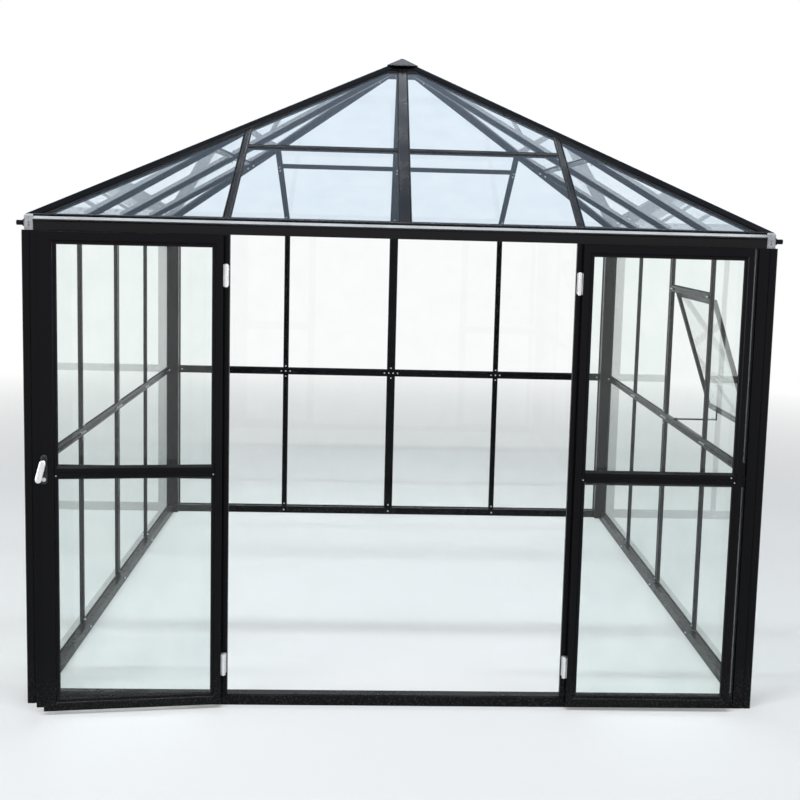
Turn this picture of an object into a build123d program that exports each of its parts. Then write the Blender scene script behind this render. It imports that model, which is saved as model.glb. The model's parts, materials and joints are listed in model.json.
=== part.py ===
from build123d import *
import os
from math import cos, radians, sin, sqrt, tan

# Square glass greenhouse with a pyramid roof and two leaves that fold back
# against the front wall. Millimetres, +Z up, front wall towards -Y.
# The origin is the middle of the front sill's underside.

# Walls
OUTER = 3050             # width and depth over the wall frames
SILL_DEPTH = 50          # outer to inner face of the sill and base rails
POST = 80                # side of a square corner post
BASE_H = 45              # height of the sill and base rails
MID_Z = 988              # centre height of the wall rails
MID_H = 41               # height of the wall rails
BAR = 27                 # face width of a thin glazing bar
PAIR_BAR = 48            # face width of the doubled bar in the middle of a wall
BAR_DEPTH = 22           # outer to inner face of bars, jambs and wall rails
JAMB = 45                # face width of a door jamb
GLASS = 4                # thickness of every pane
PANE_INSET = 9           # outer face of a wall to the outer face of its glass
BITE = 8                 # depth that a pane's edge sits in its bars
NOSE = 4                 # chamfer on the outer corners of a section
CHANNEL = 8              # width of the bolt channel in a section's inner face
CHANNEL_DEPTH = 4
GROOVE = 6               # width of the groove between the halves of a doubled bar
GROOVE_DEPTH = 4

# Eaves
EAVE_Z = 1962            # underside of the eave beam
EAVE_DEPTH = 58          # wall's outer face to the beam's inner face
TROUGH_REACH = 45        # wall's outer face to the far side of the trough
TROUGH_Z = 1990          # floor of the trough
FASCIA_INSET = 3         # wall's outer face to the flat of the gutter's face
FASCIA_Z = 1971          # lower edge of that flat
LIP_Z = 2029             # top of the gutter's lip
LIP_T = 4
LIP_LEAN = 10            # how far the gutter's upper face leans back to the lip
LOW_BEAD_Z = 2002        # middle of the bead under the leaning face
BEAD_H = 10              # height of each rolled bead
CORNER = 46              # side of the corner pieces between two gutters
CORNER_INSET = 6
CORNER_Z = 2026
OUTLET_Z = 1990          # axis of the outlets on the corner pieces
OUTLET_R = 10
OUTLET_L = 30

# Roof
PITCH = 29.7             # slope of the roof, degrees
APEX_Z = 2862            # where the undersides of the roof glass would meet
RAFTER_DEPTH = 22        # rafter below the glass
CAP_RISE = 7             # rafter above the underside of the glass
LEDGE = 6                # depth of the ledge that carries a pane's edge
HIP_W = 34
HIP_RISE = 24            # ridge of a hip above the underside of the glass
HIP_SLANT = 16           # ridge down to the top of a hip's upright flanks
HIP_TIP = 14             # outer corner of the eaves to the cut end of a hip
GLASS_FOOT = 40          # up the slope from the wall's face to the lowest glass
ROOF_BAR_AT = 725        # up the slope to the cross bar between panes
ROOF_TOP_GAP = 93        # down the slope from the apex to the top cross bar
TOP_BAR_W = 46           # width of that bar, which closes the panes under the cap
CROSS_BAR_W = 24
CROSS_BAR_DEPTH = 12
HUB_APOTHEM = 40         # apex block, from its axis to each of its eight faces
CAP_HALF = 80            # half the side of the apex cap
CAP_Z = 2843             # underside of the apex cap
CAP_RIM = 5
CAP_TOP = 12             # side of the small flat on top of the cap
CAP_TOP_Z = 2892

# Doors
LEAF_T = 25              # thickness of a leaf
LEAF_GAP = 6             # closed leaf to the wall's face
HINGE_STILE = 40         # face width of each leaf's stile at the hinges
FREE_STILE = 34          # the same at the right leaf's free edge
LOCK_STILE = 60          # the same at the left leaf's free edge
RIGHT_FREE_X = 8         # free edge of the shut right leaf, from the middle
LEFT_FREE_X = -3         # the same on the left leaf, which passes the middle
LEAF_RAIL = 45           # face height of a leaf's top and bottom rails
BEAD = 12                # width of the thinner bead round each pane of a leaf
BEAD_STEP = 4            # how far the bead lies behind the face of the leaf
ASTRAGAL = 34            # cover strip of the left leaf beyond its free edge
ASTRAGAL_T = 3
ASTRAGAL_LAND = 14       # part of the strip that is fixed to the stile
PIN_X = 713              # hinge axis from the middle of the doorway
PIN_GAP = 10             # hinge axis to the leaf's edge
LEAF_Z0 = 17
LEAF_Z1 = 1960
LEAF_MID_Z = 1004
LEAF_MID_H = 46
LEFT_OPEN = 173.5        # turn of each leaf from shut to the pose shown
RIGHT_OPEN = 179.5
BARREL_R = 8.5
BARREL_L = 90
KNUCKLE_L = 38           # middle knuckle of a hinge
HINGE_PLATE_T = 2.5
HINGE_Z = (183, 1800)

# Handle
HANDLE_Z = 1050          # axis of the lever
HANDLE_X = 9             # axis of the lever from the middle of the doorway
LEVER_W = 24
LEVER_L = 92
LEVER_T = 10
LEVER_REACH = 40         # face of the leaf to the far side of the lever
LEVER_TILT = 14
PLATE_T = 5
PLATE_L = 118
PLATE_W = 24
PLATE_DROP = 31          # lever's axis down to the middle of its plate
LOCK_DROP = 70           # lever's axis down to the lock barrel

# Side vent
TRANSOM_Z = 1705         # centre height of the bar that the sash hangs from
TRANSOM_H = 36
VENT_ANGLE = 18.5        # how far the sash is propped open
SASH = 24                # face width of the sash frame
SASH_T = 20
SASH_FOOT_Z = 1016       # lower edge of the shut sash
STAY_X = -200            # stay from the middle of the wall
STAY_W = 14
STAY_T = 7

HALF = OUTER / 2
CENTRE_Y = HALF - SILL_DEPTH / 2
FACE_Y = -SILL_DEPTH / 2
INNER = HALF - POST
BAY = INNER / 2
SLOPE_LENGTH = HALF / cos(radians(PITCH))
RISE = HALF * tan(radians(PITCH))
FOOT_Z = APEX_Z - RISE
PIN_Y = FACE_Y - LEAF_GAP - LEAF_T / 2
JAMB_EDGE = BAY - JAMB / 2
PLATE_SPAN = (HANDLE_Z - PLATE_DROP - PLATE_L / 2, HANDLE_Z - PLATE_DROP + PLATE_L / 2)
LOW = (BASE_H, MID_Z - MID_H / 2)
HIGH = (MID_Z + MID_H / 2, EAVE_Z)


def block(x0, x1, y0, y1, z0, z1):
    """Rectangular bar between two corners."""
    return Pos((x0 + x1) / 2, (y0 + y1) / 2, (z0 + z1) / 2) * Box(x1 - x0, y1 - y0, z1 - z0)


def turned(shape, side):
    """A front-wall shape carried round the plan to side 1 (right), 2 (rear) or 3 (left)."""
    return Pos(0, CENTRE_Y, 0) * Rot(0, 0, 90 * side) * Pos(0, -CENTRE_Y, 0) * shape


def cut(shape, tools):
    """The shape with every tool taken out of it."""
    for tool in tools:
        shape = shape - tool
    return shape


def largest(shape):
    """The main solid of a shape whose cuts leave loose ends."""
    return shape.solids().sort_by(SortBy.VOLUME)[-1]


def outlined(points, length):
    """Solid of the given section, from the XY plane up."""
    return extrude(make_face(Polyline(*points, close=True)), length)


def both_halves(right):
    """Closed section from its right half, listed from the top down."""
    return right + [(-a, b) for a, b in reversed(right)]


# Walls

def bar_section(width, groove):
    """Chamfered nose outside, bolt channel inside; depth runs inwards from the outer face."""
    half = width / 2
    right = [(groove / 2, GROOVE_DEPTH), (groove / 2, 0)] if groove else []
    right += [
        (half - NOSE, 0), (half, NOSE), (half, BAR_DEPTH - 3), (half - 3, BAR_DEPTH),
        (CHANNEL / 2, BAR_DEPTH), (CHANNEL / 2, BAR_DEPTH - CHANNEL_DEPTH),
    ]
    return both_halves(right)


def upright(x, width, z0, z1, groove=0):
    points = [(x + a, FACE_Y + depth) for a, depth in bar_section(width, groove)]
    return Pos(0, 0, z0) * outlined(points, z1 - z0)


def wall_rail(x0, x1, z, height):
    points = [(FACE_Y + depth, z + a) for a, depth in bar_section(height, GROOVE)]
    return Pos(x0, 0, 0) * (Plane.YZ * outlined(points, x1 - x0))


def pane(x0, x1, z0, z1):
    """A pane that fills an opening and bites into the bars round it."""
    y0 = FACE_Y + PANE_INSET
    return block(x0 - BITE, x1 + BITE, y0, y0 + GLASS, z0 - BITE, z1 + BITE)


def bay_edges():
    """Clear openings between posts and bars, left to right."""
    edges = [(-INNER, -BAY - BAR / 2)]
    edges.append((-BAY + BAR / 2, -PAIR_BAR / 2))
    edges.append((PAIR_BAR / 2, BAY - BAR / 2))
    edges.append((BAY + BAR / 2, INNER))
    return edges


def plain_wall(side, vent_bay=None):
    """Bars below and above a rail that runs from post to post, and the panes.

    In the bay of the vent a transom and a low pane over it take the place of the upper pane.
    """
    panes = []
    rails = [wall_rail(-INNER, INNER, MID_Z, MID_H)]
    for number, edges in enumerate(bay_edges()):
        panes.append(pane(*edges, *LOW))
        if number == vent_bay:
            rails.append(wall_rail(*edges, TRANSOM_Z, TRANSOM_H))
            panes.append(pane(*edges, TRANSOM_Z + TRANSOM_H / 2, EAVE_Z))
        else:
            panes.append(pane(*edges, *HIGH))
    bars = []
    for z0, z1 in (LOW, HIGH):
        for x in (-BAY, BAY):
            bars.append(upright(x, BAR, z0, z1))
        bars.append(upright(0, PAIR_BAR, z0, z1, GROOVE))
    return finish_wall(side, bars, rails, panes)


def finish_wall(side, bars, rails, panes):
    bars = [turned(cut(bar, panes), side) for bar in bars]
    rails = [turned(cut(rail, panes), side) for rail in rails]
    panes = [turned(sheet, side) for sheet in panes]
    return bars, rails, panes


def front_wall():
    """Jambs, and a rail and two panes in each outer bay."""
    panes = []
    rails = []
    for side in (-1, 1):
        x0, x1 = sorted((side * (JAMB_EDGE + JAMB), side * INNER))
        panes.append(pane(x0, x1, *LOW))
        panes.append(pane(x0, x1, *HIGH))
        rails.append(wall_rail(x0, x1, MID_Z, MID_H))
    jambs = [upright(x, JAMB, BASE_H, EAVE_Z) for x in (-BAY, BAY)]
    return finish_wall(0, jambs, rails, panes)


def rail_brackets():
    """Small blocks on the front rails, in the corners to the posts and jambs."""
    width = 22
    height = 60
    z0 = MID_Z + MID_H / 2
    blocks = []
    for side in (-1, 1):
        for x, inward in ((INNER, -1), (JAMB_EDGE + JAMB, 1)):
            ends = sorted((side * x, side * (x + inward * width)))
            body = block(*ends, FACE_Y, FACE_Y + PANE_INSET, z0, z0 + height)
            blocks.append(chamfer(body.edges().filter_by(Axis.Z).group_by(Axis.Y)[0], 3))
    return blocks


def base_rail(side):
    """Rail on the ground with a water bar sloping off its outer top edge."""
    points = [
        (FACE_Y, 0), (-FACE_Y, 0), (-FACE_Y, BASE_H), (FACE_Y + BAR_DEPTH, BASE_H),
        (FACE_Y + PANE_INSET - 1, BASE_H), (FACE_Y, BASE_H - NOSE),
    ]
    rail = Pos(-INNER, 0, 0) * (Plane.YZ * outlined(points, 2 * INNER))
    return turned(rail, side)


def corner_post(side):
    """Square post with chamfered corners and a groove down each outer face."""
    groove_at = 31
    post = block(-HALF, -INNER, FACE_Y, FACE_Y + POST, 0, EAVE_Z)
    post = chamfer(post.edges().filter_by(Axis.Z), NOSE)
    groove = block(-HALF + groove_at, -HALF + groove_at + GROOVE, FACE_Y - 1, FACE_Y + 3, 0, EAVE_Z)
    side_groove = block(-HALF - 1, -HALF + 3, FACE_Y + groove_at, FACE_Y + groove_at + GROOVE, 0, EAVE_Z)
    return turned(post - groove - side_groove, side)


# Eaves

def glass_z(y):
    """Height of the underside of the front slope's glass."""
    return FOOT_Z + (y - FACE_Y) * tan(radians(PITCH))


def eave_section():
    """Box beam with a trough on top of it.

    The trough's face is upright up to a bead, then leans back to a rolled lip.
    """
    face = FACE_Y + FASCIA_INSET
    lip = face + LIP_LEAN
    web = FACE_Y + TROUGH_REACH
    inner = FACE_Y + EAVE_DEPTH
    bead0 = LOW_BEAD_Z - BEAD_H / 2
    bead1 = LOW_BEAD_Z + BEAD_H / 2
    roll0 = LIP_Z - BEAD_H
    below = Polyline(
        (inner, EAVE_Z), (face + 2, EAVE_Z), (face + 2, FASCIA_Z), (face, FASCIA_Z), (face, bead0),
    )
    bead = ThreePointArc((face, bead0), (face - 4, LOW_BEAD_Z), (face, bead1))
    leaning = Line((face, bead1), (lip - 2, roll0))
    roll = ThreePointArc((lip - 2, roll0), (lip - 5, roll0 + 6), (lip, LIP_Z))
    inside = Polyline(
        (lip, LIP_Z), (lip + LIP_T, LIP_Z), (lip + LIP_T, roll0), (face + LIP_T, bead1 - 2),
        (face + LIP_T, TROUGH_Z + 5), (face + LIP_T + 5, TROUGH_Z), (web - 5, TROUGH_Z), (web, TROUGH_Z + 5),
        (web, glass_z(web)), (inner, glass_z(inner)), (inner, EAVE_Z),
    )
    edges = [*below.edges(), *bead.edges(), *leaning.edges(), *roll.edges(), *inside.edges()]
    return make_face(Wire(edges))


def gutter(side):
    """One side's beam and gutter, from corner piece to corner piece and mitred behind them."""
    run = HALF - CORNER
    reach = 200
    beam = extrude(Plane.YZ * eave_section(), run, both=True)
    for end in (-1, 1):
        corner = (end * HALF, FACE_Y)
        back = (end * (HALF - reach), FACE_Y + reach)
        wedge = outlined((corner, back, (end * HALF, FACE_Y + reach)), LIP_Z)
        beam = beam - wedge
    return turned(beam, side)


def at_corner(a0, a1, b0, b1, z0, z1):
    """Block measured inwards from the outer faces of the front left post."""
    return block(-HALF + a0, -HALF + a1, FACE_Y + b0, FACE_Y + b1, z0, z1)


def gutter_corner():
    """Moulded block over the front left post, with a slot and two sockets in each outer face."""
    body = at_corner(CORNER_INSET, CORNER, CORNER_INSET, CORNER, EAVE_Z, CORNER_Z)
    uprights = body.edges().filter_by(Axis.Z)
    outermost = uprights.sort_by(lambda edge: edge.center().X + edge.center().Y)[0]
    body = fillet(outermost, 12)
    top = body.faces().sort_by(Axis.Z)[-1]
    middle = -HALF + FACE_Y + CORNER
    outer = top.edges().filter_by(lambda edge: edge.center().X + edge.center().Y < middle)
    body = chamfer(outer, 8)
    deep = CORNER_INSET + 4
    slot = (CORNER_INSET + 5, CORNER_INSET + 8, 1976, 2008)
    sockets = [(CORNER_INSET + 19, CORNER_INSET + 26, z - 3, z + 3) for z in (1980, 1992)]
    for a0, a1, z0, z1 in [slot] + sockets:
        body = body - at_corner(a0, a1, 0, deep, z0, z1) - at_corner(0, deep, a0, a1, z0, z1)
    return body


def gutter_outlet():
    """Flange and short eight-sided pipe on the left face of the front left corner piece."""
    x = -HALF + CORNER_INSET
    y = FACE_Y + (CORNER_INSET + CORNER) / 2
    flange = block(x - 3, x, y - 14, y + 14, OUTLET_Z - 14, OUTLET_Z + 14)
    outwards = Plane(origin=(x, y, OUTLET_Z), x_dir=(0, 1, 0), z_dir=(-1, 0, 0))
    ring = RegularPolygon(OUTLET_R, 8, major_radius=False, rotation=22.5)
    bore = RegularPolygon(OUTLET_R - 3, 8, major_radius=False, rotation=22.5)
    pipe = outwards * extrude(ring, OUTLET_L)
    hollow = outwards * (Pos(0, 0, 6) * extrude(bore, OUTLET_L))
    return flange + pipe - hollow


# Roof

SLOPE = Plane(
    origin=(0, FACE_Y, FOOT_Z),
    x_dir=(1, 0, 0),
    z_dir=(0, -sin(radians(PITCH)), cos(radians(PITCH))),
)


def on_slope(outline, thickness, lift=0):
    """Flat outline on the front slope, raised from the underside of the glass."""
    return SLOPE * (Pos(0, 0, lift) * outlined(outline, thickness))


def hip_u(v, inset=0):
    """Half width of the slope at v, less an inset measured along the eave."""
    return HALF * (1 - v / SLOPE_LENGTH) - inset


def hip_v(u, inset=0):
    return SLOPE_LENGTH * (1 - (u + inset) / HALF)


TOP_V = SLOPE_LENGTH - ROOF_TOP_GAP
HIP_INSET = HIP_W / 2 * sqrt(2) - BITE


def slope_panes():
    """Six panes of the front slope."""
    near = PAIR_BAR / 2 - BITE
    far = BAY - BAR / 2 + BITE
    outer = BAY + BAR / 2 - BITE
    joint = CROSS_BAR_W / 2 - BITE
    top = TOP_V - TOP_BAR_W / 2 + BITE
    low = [(near, GLASS_FOOT), (far, GLASS_FOOT), (far, ROOF_BAR_AT - joint), (near, ROOF_BAR_AT - joint)]
    high = [
        (near, ROOF_BAR_AT + joint), (far, ROOF_BAR_AT + joint), (far, hip_v(far, HIP_INSET)),
        (hip_u(top, HIP_INSET), top), (near, top),
    ]
    end = [(outer, GLASS_FOOT), (hip_u(GLASS_FOOT, HIP_INSET), GLASS_FOOT), (outer, hip_v(outer, HIP_INSET))]
    panes = []
    for outline in (low, high, end):
        panes.append(on_slope(outline, GLASS))
        mirrored = [(-u, v) for u, v in reversed(outline)]
        panes.append(on_slope(mirrored, GLASS))
    return panes


def rafter_section(width, groove):
    """Moulded cap over the glass, ledges under it, and a web with a bolt channel."""
    half = width / 2
    right = [(groove / 2, CAP_RISE - GROOVE_DEPTH), (groove / 2, CAP_RISE)] if groove else []
    right += [
        (half - NOSE, CAP_RISE), (half, CAP_RISE - 3), (half, -LEDGE), (half - 5, -LEDGE),
        (half - 5, -RAFTER_DEPTH), (CHANNEL / 2, -RAFTER_DEPTH), (CHANNEL / 2, CHANNEL_DEPTH - RAFTER_DEPTH),
    ]
    return both_halves(right)


def rafter(u, width, v1, groove=0):
    """Bar up the front slope, from the foot of the glass to v1."""
    points = [(a, -lift) for a, lift in rafter_section(width, groove)]
    up = Plane(origin=(u, GLASS_FOOT, 0), x_dir=(1, 0, 0), z_dir=(0, 1, 0))
    return SLOPE * (up * outlined(points, v1 - GLASS_FOOT))


def hub(z0, z1):
    """Eight-sided block on the roof's axis that the rafters and hips meet."""
    base = RegularPolygon(HUB_APOTHEM, 8, major_radius=False, rotation=22.5)
    return Pos(0, CENTRE_Y, z0) * extrude(base, z1 - z0)


def apex_cap():
    """Small pyramid over the hub, with an upright rim."""
    side = 2 * CAP_HALF
    rim = Pos(0, CENTRE_Y, CAP_Z + CAP_RIM / 2) * Box(side, side, CAP_RIM)
    z0 = CAP_Z + CAP_RIM
    near = CAP_HALF - CAP_TOP / 2
    far = CAP_HALF + CAP_TOP / 2
    pyramid = Wedge(side, CAP_TOP_Z - z0, side, near, near, far, far)
    return rim + Pos(0, CENTRE_Y, (z0 + CAP_TOP_Z) / 2) * (Rot(90, 0, 0) * pyramid)


def hip_rafter():
    """Bar from the top of the front left corner piece to the apex: ridged cap, web below the glass."""
    run = HALF * sqrt(2)
    length = sqrt(run ** 2 + RISE ** 2)
    axis = Vector(HALF, HALF, RISE).normalized()
    section = Plane(origin=(-HALF, FACE_Y, FOOT_Z), x_dir=Vector(-1, 1, 0).normalized(), z_dir=axis)
    half = HIP_W / 2
    right = [
        (3, HIP_RISE - 1), (half, HIP_RISE - HIP_SLANT), (half, -5), (half - 6, -3),
        (half - 6, -RAFTER_DEPTH),
        (CHANNEL / 2, -RAFTER_DEPTH), (CHANNEL / 2, CHANNEL_DEPTH - RAFTER_DEPTH),
    ]
    points = [(0, HIP_RISE)] + both_halves(right)
    bar = section * outlined(points, length + 30)
    under = at_corner(-CORNER, CORNER, -CORNER, CORNER, 0, CORNER_Z)
    left = at_corner(-OUTER, HIP_TIP, -OUTER, OUTER, 0, APEX_Z)
    front = at_corner(-OUTER, OUTER, -OUTER, HIP_TIP, 0, APEX_Z)
    return bar - under - left - front


def beyond_hip():
    """Space on the far side of the front left hip's near flank, which bars on the front slope stop at."""
    shift = HIP_W / 2 * sqrt(2)
    plan = ((-HALF + shift, FACE_Y), (shift, CENTRE_Y), (-OUTER, CENTRE_Y), (-OUTER, FACE_Y))
    return outlined(plan, 2 * CAP_Z)


def cross_bar(v, width, u0, u1):
    """The pair of bars across the front slope at v, each side of the centre rafter."""
    half = width / 2
    outline = [
        (half - 3, -CAP_RISE), (half, 3 - CAP_RISE), (half, CROSS_BAR_DEPTH),
        (half - 4, CROSS_BAR_DEPTH),
    ]
    points = [(-lift, a) for a, lift in both_halves(outline)]
    bars = []
    for start in (u0, -u1):
        across = Plane(origin=(start, v, 0), x_dir=(0, 0, 1), z_dir=(1, 0, 0))
        bars.append(SLOPE * (across * outlined(points, u1 - u0)))
    return bars


def cross_bars():
    """Bars over the square panes, and below the cap from the centre rafter to the hips."""
    inner = PAIR_BAR / 2
    bars = cross_bar(ROOF_BAR_AT, CROSS_BAR_W, inner, BAY - BAR / 2)
    stop = beyond_hip()
    for bar in cross_bar(TOP_V, TOP_BAR_W, inner, hip_u(TOP_V)):
        bars.append(bar - stop - mirror(stop, Plane.YZ))
    return bars


# Doors: each leaf is drawn shut as the right leaf, then mirrored and opened

def bead_section(outer, inner):
    """Frame bar of a leaf, thinner and bevelled towards the pane on both faces."""
    way = 1 if inner > outer else -1
    face = LEAF_T / 2
    upper = [
        (outer, face), (inner - way * BEAD, face), (inner - way * (BEAD - 3), face - BEAD_STEP),
        (inner, face - BEAD_STEP),
    ]
    return upper + [(a, -b) for a, b in reversed(upper)]


def leaf_stile(outer, inner):
    points = [(a, PIN_Y + b) for a, b in bead_section(outer, inner)]
    return Pos(0, 0, LEAF_Z0) * outlined(points, LEAF_Z1 - LEAF_Z0)


def leaf_rail(x0, x1, outer, inner):
    points = [(PIN_Y + b, a) for a, b in bead_section(outer, inner)]
    return Pos(x0, 0, 0) * (Plane.YZ * outlined(points, x1 - x0))


def middle_rail(x0, x1):
    """Rail between the panes, with a channel along both faces."""
    half = LEAF_MID_H / 2
    face = LEAF_T / 2
    upper = [
        (-half, face - BEAD_STEP), (5 - half, face), (-5, face), (-5, face - 3),
        (5, face - 3), (5, face), (half - 5, face), (half, face - BEAD_STEP),
    ]
    points = upper + [(a, -b) for a, b in reversed(upper)]
    points = [(PIN_Y + b, LEAF_MID_Z + a) for a, b in points]
    return Pos(x0, 0, 0) * (Plane.YZ * outlined(points, x1 - x0))


def mitred(shape, corners):
    """The part of a frame bar inside the outline that its mitres leave, seen from in front."""
    y1 = PIN_Y + LEAF_T
    face = Plane.XZ * make_face(Polyline(*corners, close=True))
    return shape & (Pos(0, y1, 0) * extrude(face, 2 * LEAF_T))


def leaf_parts(free_x, free_width):
    """Stiles, rails and panes of a leaf."""
    hinge_x = PIN_X - PIN_GAP
    in_hinge = hinge_x - HINGE_STILE
    in_free = free_x + free_width
    low_z = LEAF_Z0 + LEAF_RAIL
    high_z = LEAF_Z1 - LEAF_RAIL
    middle = (LEAF_MID_Z - LEAF_MID_H / 2, LEAF_MID_Z + LEAF_MID_H / 2)
    panes = []
    for z0, z1 in ((low_z, middle[0]), (middle[1], high_z)):
        panes.append(block(in_free - BITE, in_hinge + BITE, PIN_Y - GLASS / 2, PIN_Y + GLASS / 2,
                           z0 - BITE, z1 + BITE))
    stiles = []
    for x_out, x_in in ((hinge_x, in_hinge), (free_x, in_free)):
        corners = ((x_out, LEAF_Z0), (x_in, low_z), (x_in, high_z), (x_out, LEAF_Z1))
        stiles.append(mitred(leaf_stile(x_out, x_in), corners))
    rails = [middle_rail(in_free, in_hinge)]
    for z_out, z_in in ((LEAF_Z0, low_z), (LEAF_Z1, high_z)):
        corners = ((free_x, z_out), (hinge_x, z_out), (in_hinge, z_in), (in_free, z_in))
        rails.append(mitred(leaf_rail(free_x, hinge_x, z_out, z_in), corners))
    stiles = [cut(stile, panes) for stile in stiles]
    rails = [cut(rail, panes) for rail in rails]
    return stiles, rails, panes


def opened(shape, side):
    """A shut shape turned about its hinge axis to the pose shown."""
    angle = -RIGHT_OPEN if side > 0 else LEFT_OPEN
    x = side * PIN_X
    return Pos(x, PIN_Y, 0) * Rot(0, 0, -angle) * Pos(-x, -PIN_Y, 0) * shape


def place_leaf(shapes, side):
    placed = []
    for shape in shapes:
        if side < 0:
            shape = mirror(shape, Plane.YZ)
        placed.append(opened(shape, side))
    return placed


def astragal():
    """Cover strip on the outer face of the left leaf's free stile, drawn as on a right leaf."""
    y = PIN_Y - LEAF_T / 2
    x = LEFT_FREE_X
    far = y - LEAF_GAP - ASTRAGAL_T
    points = [
        (x + ASTRAGAL_LAND, y), (x + ASTRAGAL_LAND, y - 2), (x + 4, far), (x - ASTRAGAL + 2, far),
        (x - ASTRAGAL, far + 2), (x - ASTRAGAL, far + ASTRAGAL_T), (x, far + ASTRAGAL_T), (x, y),
    ]
    strip = Pos(0, 0, LEAF_Z0 + 4) * outlined(points, LEAF_Z1 - LEAF_Z0 - 8)
    low, high = PLATE_SPAN
    return strip - block(x, x + ASTRAGAL_LAND + 1, far - 1, y, low - 3, high + 3)


def handle():
    """Lever, neck, plate and lock barrel on both faces of the lock stile."""
    pieces = []
    for face in (-1, 1):
        y = PIN_Y + face * LEAF_T / 2
        front = Plane(origin=(HANDLE_X, y, HANDLE_Z), x_dir=(1, 0, 0), z_dir=(0, face, 0))
        plate = extrude(SlotOverall(PLATE_L, PLATE_W, rotation=90), PLATE_T)
        plate = front * (Pos(0, face * PLATE_DROP, 0) * plate)
        plate = chamfer(plate.faces().sort_by(Axis.Y)[-1 if face > 0 else 0].edges(), 1.5)
        neck = front * extrude(RegularPolygon(8, 8), LEVER_REACH - 2)
        lever = SlotOverall(LEVER_L, LEVER_W, rotation=90)
        lever = extrude(Pos(0, face * (LEVER_L - LEVER_W) / 2, 0) * lever, LEVER_T)
        lever = Rot(0, 0, face * LEVER_TILT) * lever
        lever = front * (Pos(0, 0, LEVER_REACH - LEVER_T) * lever)
        lever = chamfer(lever.faces().sort_by(Axis.Y)[-1 if face > 0 else 0].edges(), 2.5)
        barrel = Cylinder(8, PLATE_T + 5, align=(Align.CENTER, Align.CENTER, Align.MIN))
        barrel = front * (Pos(0, face * LOCK_DROP, 0) * barrel)
        pieces.append(plate + neck + lever + barrel)
    return pieces


def hinge_door_half(z):
    """Middle knuckle and the plate on the leaf's edge, drawn as on a right leaf."""
    knuckle = Pos(PIN_X, PIN_Y, z) * Cylinder(BARREL_R, KNUCKLE_L - 1)
    edge = PIN_X - PIN_GAP
    half = (KNUCKLE_L - 1) / 2
    plate = block(edge, edge + 1.5, PIN_Y - 11, PIN_Y + 11, z - BARREL_L / 2, z + BARREL_L / 2)
    plate = chamfer(plate.edges().filter_by(Axis.X), 4)
    web = block(edge, PIN_X - 3, PIN_Y - 2, PIN_Y + 2, z - half, z + half)
    return knuckle + web + plate


def hinge_jamb_half(z, side):
    """Outer knuckles on arms from one plate on the jamb."""
    plate = block(PIN_X - 10, PIN_X + 26, FACE_Y - HINGE_PLATE_T, FACE_Y, z - BARREL_L / 2, z + BARREL_L / 2)
    piece = chamfer(plate.edges().filter_by(Axis.Y), 5)
    length = (BARREL_L - KNUCKLE_L) / 2
    for end in (-1, 1):
        middle = z + end * (BARREL_L - length) / 2
        low, high = middle - length / 2, middle + length / 2
        piece = piece + Pos(PIN_X, PIN_Y, middle) * Cylinder(BARREL_R, length)
        piece = piece + block(PIN_X - 3, PIN_X + 3, PIN_Y, FACE_Y - HINGE_PLATE_T, low, high)
    return piece if side > 0 else mirror(piece, Plane.YZ)


# Side vent, drawn on the front wall and carried to the right

def vent():
    """Top-hung sash of four mitred bars, and its pane."""
    x0, x1 = bay_edges()[1]
    x0 += 3
    x1 -= 3
    y0 = FACE_Y - SASH_T - 2
    y1 = y0 + SASH_T
    z1 = TRANSOM_Z - TRANSOM_H / 2
    z0 = SASH_FOOT_Z
    outer = ((x0, z0), (x1, z0), (x1, z1), (x0, z1))
    inner = ((x0 + SASH, z0 + SASH), (x1 - SASH, z0 + SASH), (x1 - SASH, z1 - SASH), (x0 + SASH, z1 - SASH))
    edge = SASH - BITE
    sheet = block(x0 + edge, x1 - edge, y0 + 8, y0 + 8 + GLASS, z0 + edge, z1 - edge)
    swing = Pos(0, y1, z1) * Rot(-VENT_ANGLE, 0, 0) * Pos(0, -y1, -z1)
    bars = []
    for i in range(4):
        j = (i + 1) % 4
        face = Plane.XZ * make_face(Polyline(outer[i], outer[j], inner[j], inner[i], close=True))
        bar = Pos(0, y1, 0) * extrude(face, SASH_T)
        front = bar.faces().sort_by(Axis.Y)[0]
        long_edge = front.edges().sort_by(SortBy.LENGTH)[-1]
        bars.append(turned(swing * (chamfer(long_edge, 3) - sheet), 1))
    return bars, turned(swing * sheet, 1)


def vent_stay():
    """Flat bar from the wall rail out to an upright lug inside the sash's bottom rail."""
    length = TRANSOM_Z - TRANSOM_H / 2 - SASH_FOOT_Z
    reach = length * sin(radians(VENT_ANGLE)) + 2
    foot_z = SASH_FOOT_Z + length * (1 - cos(radians(VENT_ANGLE)))
    left = STAY_X - STAY_W / 2
    right = STAY_X + STAY_W / 2
    z0 = MID_Z + MID_H / 2
    arm = block(left, right, FACE_Y - reach, FACE_Y + BAR_DEPTH, z0, z0 + STAY_T)
    lug = block(left, right, FACE_Y - reach, FACE_Y - reach + 4, z0, foot_z)
    return turned(arm + lug, 1)


def node(name, shapes):
    """Write one named piece, or a set of like pieces, to its own file."""
    shape = shapes[0] if len(shapes) == 1 else Compound(children=list(shapes))
    shape.label = name
    export_step(shape, os.path.join("parts", name + ".step"))


def around(shape):
    """The same shape on all four sides."""
    return [turned(shape, side) for side in range(4)]


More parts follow.
